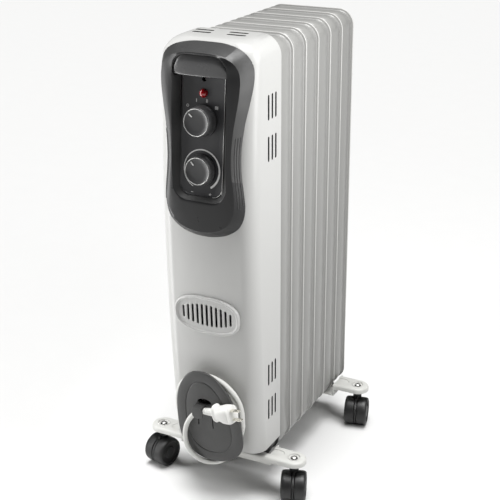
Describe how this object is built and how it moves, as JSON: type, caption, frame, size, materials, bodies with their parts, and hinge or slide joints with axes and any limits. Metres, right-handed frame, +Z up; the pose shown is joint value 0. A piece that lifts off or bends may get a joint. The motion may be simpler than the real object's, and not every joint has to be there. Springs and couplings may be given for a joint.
{
  "type": "oil filled radiator heater",
  "caption": "Upright finned oil radiator with a control housing in front, cord storage and twin wheel casters.",
  "frame": {"origin": "bottom centre of the whole part's bounding box without its cord, on the floor under the wheels", "axes": "+Z up, the control panel faces -Y, +X is to the right of somebody who looks along +Y at the panel"},
  "size_m": [0.258, 0.3571, 0.6357],
  "materials": {
    "white_enamel": "satin white enamel",
    "fin_enamel": "satin warm grey enamel",
    "charcoal_plastic": "satin",
    "gloss_plastic": "gloss",
    "panel_plastic": "fine satin",
    "knob_plastic": "satin",
    "disc_plastic": "matte",
    "bakelite": "matte",
    "red_lens": "clear red",
    "plain_steel": "plain",
    "zinc_steel": "zinc plated",
    "foot_enamel": "satin light grey enamel",
    "caster_nylon": "satin",
    "wheel_nylon": "satin",
    "cord_jacket": "matte vinyl",
    "plug_vinyl": "moulded vinyl",
    "blade_metal": "nickel plated"
  },
  "bodies": {
    "heater_body": {"bezel": "charcoal_plastic", "control_plate": "panel_plastic", "cord_coil": "cord_jacket", "cord_hub": "charcoal_plastic", "cord_strain_relief": "cord_jacket", "cord_tail": "cord_jacket", "cord_wrap_disc": "disc_plastic", "element_flange": "plain_steel", "fin_1": "fin_enamel", "fin_2": "fin_enamel", "fin_3": "fin_enamel", "fin_4": "fin_enamel", "fin_5": "fin_enamel", "fin_6": "fin_enamel", "fin_7": "fin_enamel", "front_cover": "white_enamel", "front_foot": "foot_enamel", "front_top_plug": "plain_steel", "front_u_bolt": "zinc_steel", "front_wing_nut_left": "zinc_steel", "front_wing_nut_right": "zinc_steel", "handle_hood": "gloss_plastic", "heat_shield": "zinc_steel", "heating_element": "plain_steel", "indicator_lens": "red_lens", "louvre_grille": "white_enamel", "plug_blade_left": "blade_metal", "plug_blade_right": "blade_metal", "plug_body": "plug_vinyl", "rear_bottom_plug": "plain_steel", "rear_foot": "foot_enamel", "rear_top_plug": "plain_steel", "rear_u_bolt": "zinc_steel", "rear_wing_nut_left": "zinc_steel", "rear_wing_nut_right": "zinc_steel", "selector_switch": "bakelite", "thermal_cutoff": "plain_steel", "thermostat_body": "bakelite", "terminal_block": "bakelite", "tip_over_switch": "bakelite"},
    "selector_knob_turning": {"selector_knob": "knob_plastic", "selector_shaft": "plain_steel"},
    "thermostat_knob_turning": {"thermostat_knob": "knob_plastic", "thermostat_shaft": "plain_steel"},
    "front_left_caster": {"front_left_caster_housing": "caster_nylon", "front_left_axle": "plain_steel"},
    "front_left_wheel_left_rolling": {"front_left_wheel_left": "wheel_nylon"},
    "front_left_wheel_right_rolling": {"front_left_wheel_right": "wheel_nylon"},
    "front_right_caster": {"front_right_caster_housing": "caster_nylon", "front_right_axle": "plain_steel"},
    "front_right_wheel_left_rolling": {"front_right_wheel_left": "wheel_nylon"},
    "front_right_wheel_right_rolling": {"front_right_wheel_right": "wheel_nylon"},
    "rear_left_caster": {"rear_left_caster_housing": "caster_nylon", "rear_left_axle": "plain_steel"},
    "rear_left_wheel_left_rolling": {"rear_left_wheel_left": "wheel_nylon"},
    "rear_left_wheel_right_rolling": {"rear_left_wheel_right": "wheel_nylon"},
    "rear_right_caster": {"rear_right_caster_housing": "caster_nylon", "rear_right_axle": "plain_steel"},
    "rear_right_wheel_left_rolling": {"rear_right_wheel_left": "wheel_nylon"},
    "rear_right_wheel_right_rolling": {"rear_right_wheel_right": "wheel_nylon"}
  },
  "joints": [
    {"name": "selector_knob_turn", "type": "hinge", "parent": "heater_body", "child": "selector_knob_turning", "pos_m": [0, -0.14653, 0.5385], "axis": [0, 0.995, -0.0995], "range_deg": [0, 100]},
    {"name": "thermostat_knob_turn", "type": "hinge", "parent": "heater_body", "child": "thermostat_knob_turning", "pos_m": [0, -0.15263, 0.4775], "axis": [0, 0.995, -0.0995], "range_deg": [-115, 175]},
    {"name": "front_left_caster_swivel", "type": "hinge", "parent": "heater_body", "child": "front_left_caster", "pos_m": [-0.1045, -0.09868, 0.05], "axis": [0, 0, 1], "continuous": true},
    {"name": "front_left_wheel_left_roll", "type": "hinge", "parent": "front_left_caster", "child": "front_left_wheel_left_rolling", "pos_m": [-0.10559, -0.10356, 0.0213], "axis": [0.9759, -0.2181, 0], "continuous": true},
    {"name": "front_left_wheel_right_roll", "type": "hinge", "parent": "front_left_caster", "child": "front_left_wheel_right_rolling", "pos_m": [-0.10559, -0.10356, 0.0213], "axis": [0.9759, -0.2181, 0], "continuous": true},
    {"name": "front_right_caster_swivel", "type": "hinge", "parent": "heater_body", "child": "front_right_caster", "pos_m": [0.1045, -0.09868, 0.05], "axis": [0, 0, 1], "continuous": true},
    {"name": "front_right_wheel_left_roll", "type": "hinge", "parent": "front_right_caster", "child": "front_right_wheel_left_rolling", "pos_m": [0.10625, -0.10336, 0.0213], "axis": [0.9367, 0.3502, 0], "continuous": true},
    {"name": "front_right_wheel_right_roll", "type": "hinge", "parent": "front_right_caster", "child": "front_right_wheel_right_rolling", "pos_m": [0.10625, -0.10336, 0.0213], "axis": [0.9367, 0.3502, 0], "continuous": true},
    {"name": "rear_left_caster_swivel", "type": "hinge", "parent": "heater_body", "child": "rear_left_caster", "pos_m": [-0.1045, 0.13262, 0.05], "axis": [0, 0, 1], "continuous": true},
    {"name": "rear_left_wheel_left_roll", "type": "hinge", "parent": "rear_left_caster", "child": "rear_left_wheel_left_rolling", "pos_m": [-0.10625, 0.12794, 0.0213], "axis": [0.9367, -0.3502, 0], "continuous": true},
    {"name": "rear_left_wheel_right_roll", "type": "hinge", "parent": "rear_left_caster", "child": "rear_left_wheel_right_rolling", "pos_m": [-0.10625, 0.12794, 0.0213], "axis": [0.9367, -0.3502, 0], "continuous": true},
    {"name": "rear_right_caster_swivel", "type": "hinge", "parent": "heater_body", "child": "rear_right_caster", "pos_m": [0.1045, 0.13262, 0.05], "axis": [0, 0, 1], "continuous": true},
    {"name": "rear_right_wheel_left_roll", "type": "hinge", "parent": "rear_right_caster", "child": "rear_right_wheel_left_rolling", "pos_m": [0.10569, 0.12776, 0.0213], "axis": [0.9711, 0.2385, 0], "continuous": true},
    {"name": "rear_right_wheel_right_roll", "type": "hinge", "parent": "rear_right_caster", "child": "rear_right_wheel_right_rolling", "pos_m": [0.10569, 0.12776, 0.0213], "axis": [0.9711, 0.2385, 0], "continuous": true}
  ]
}
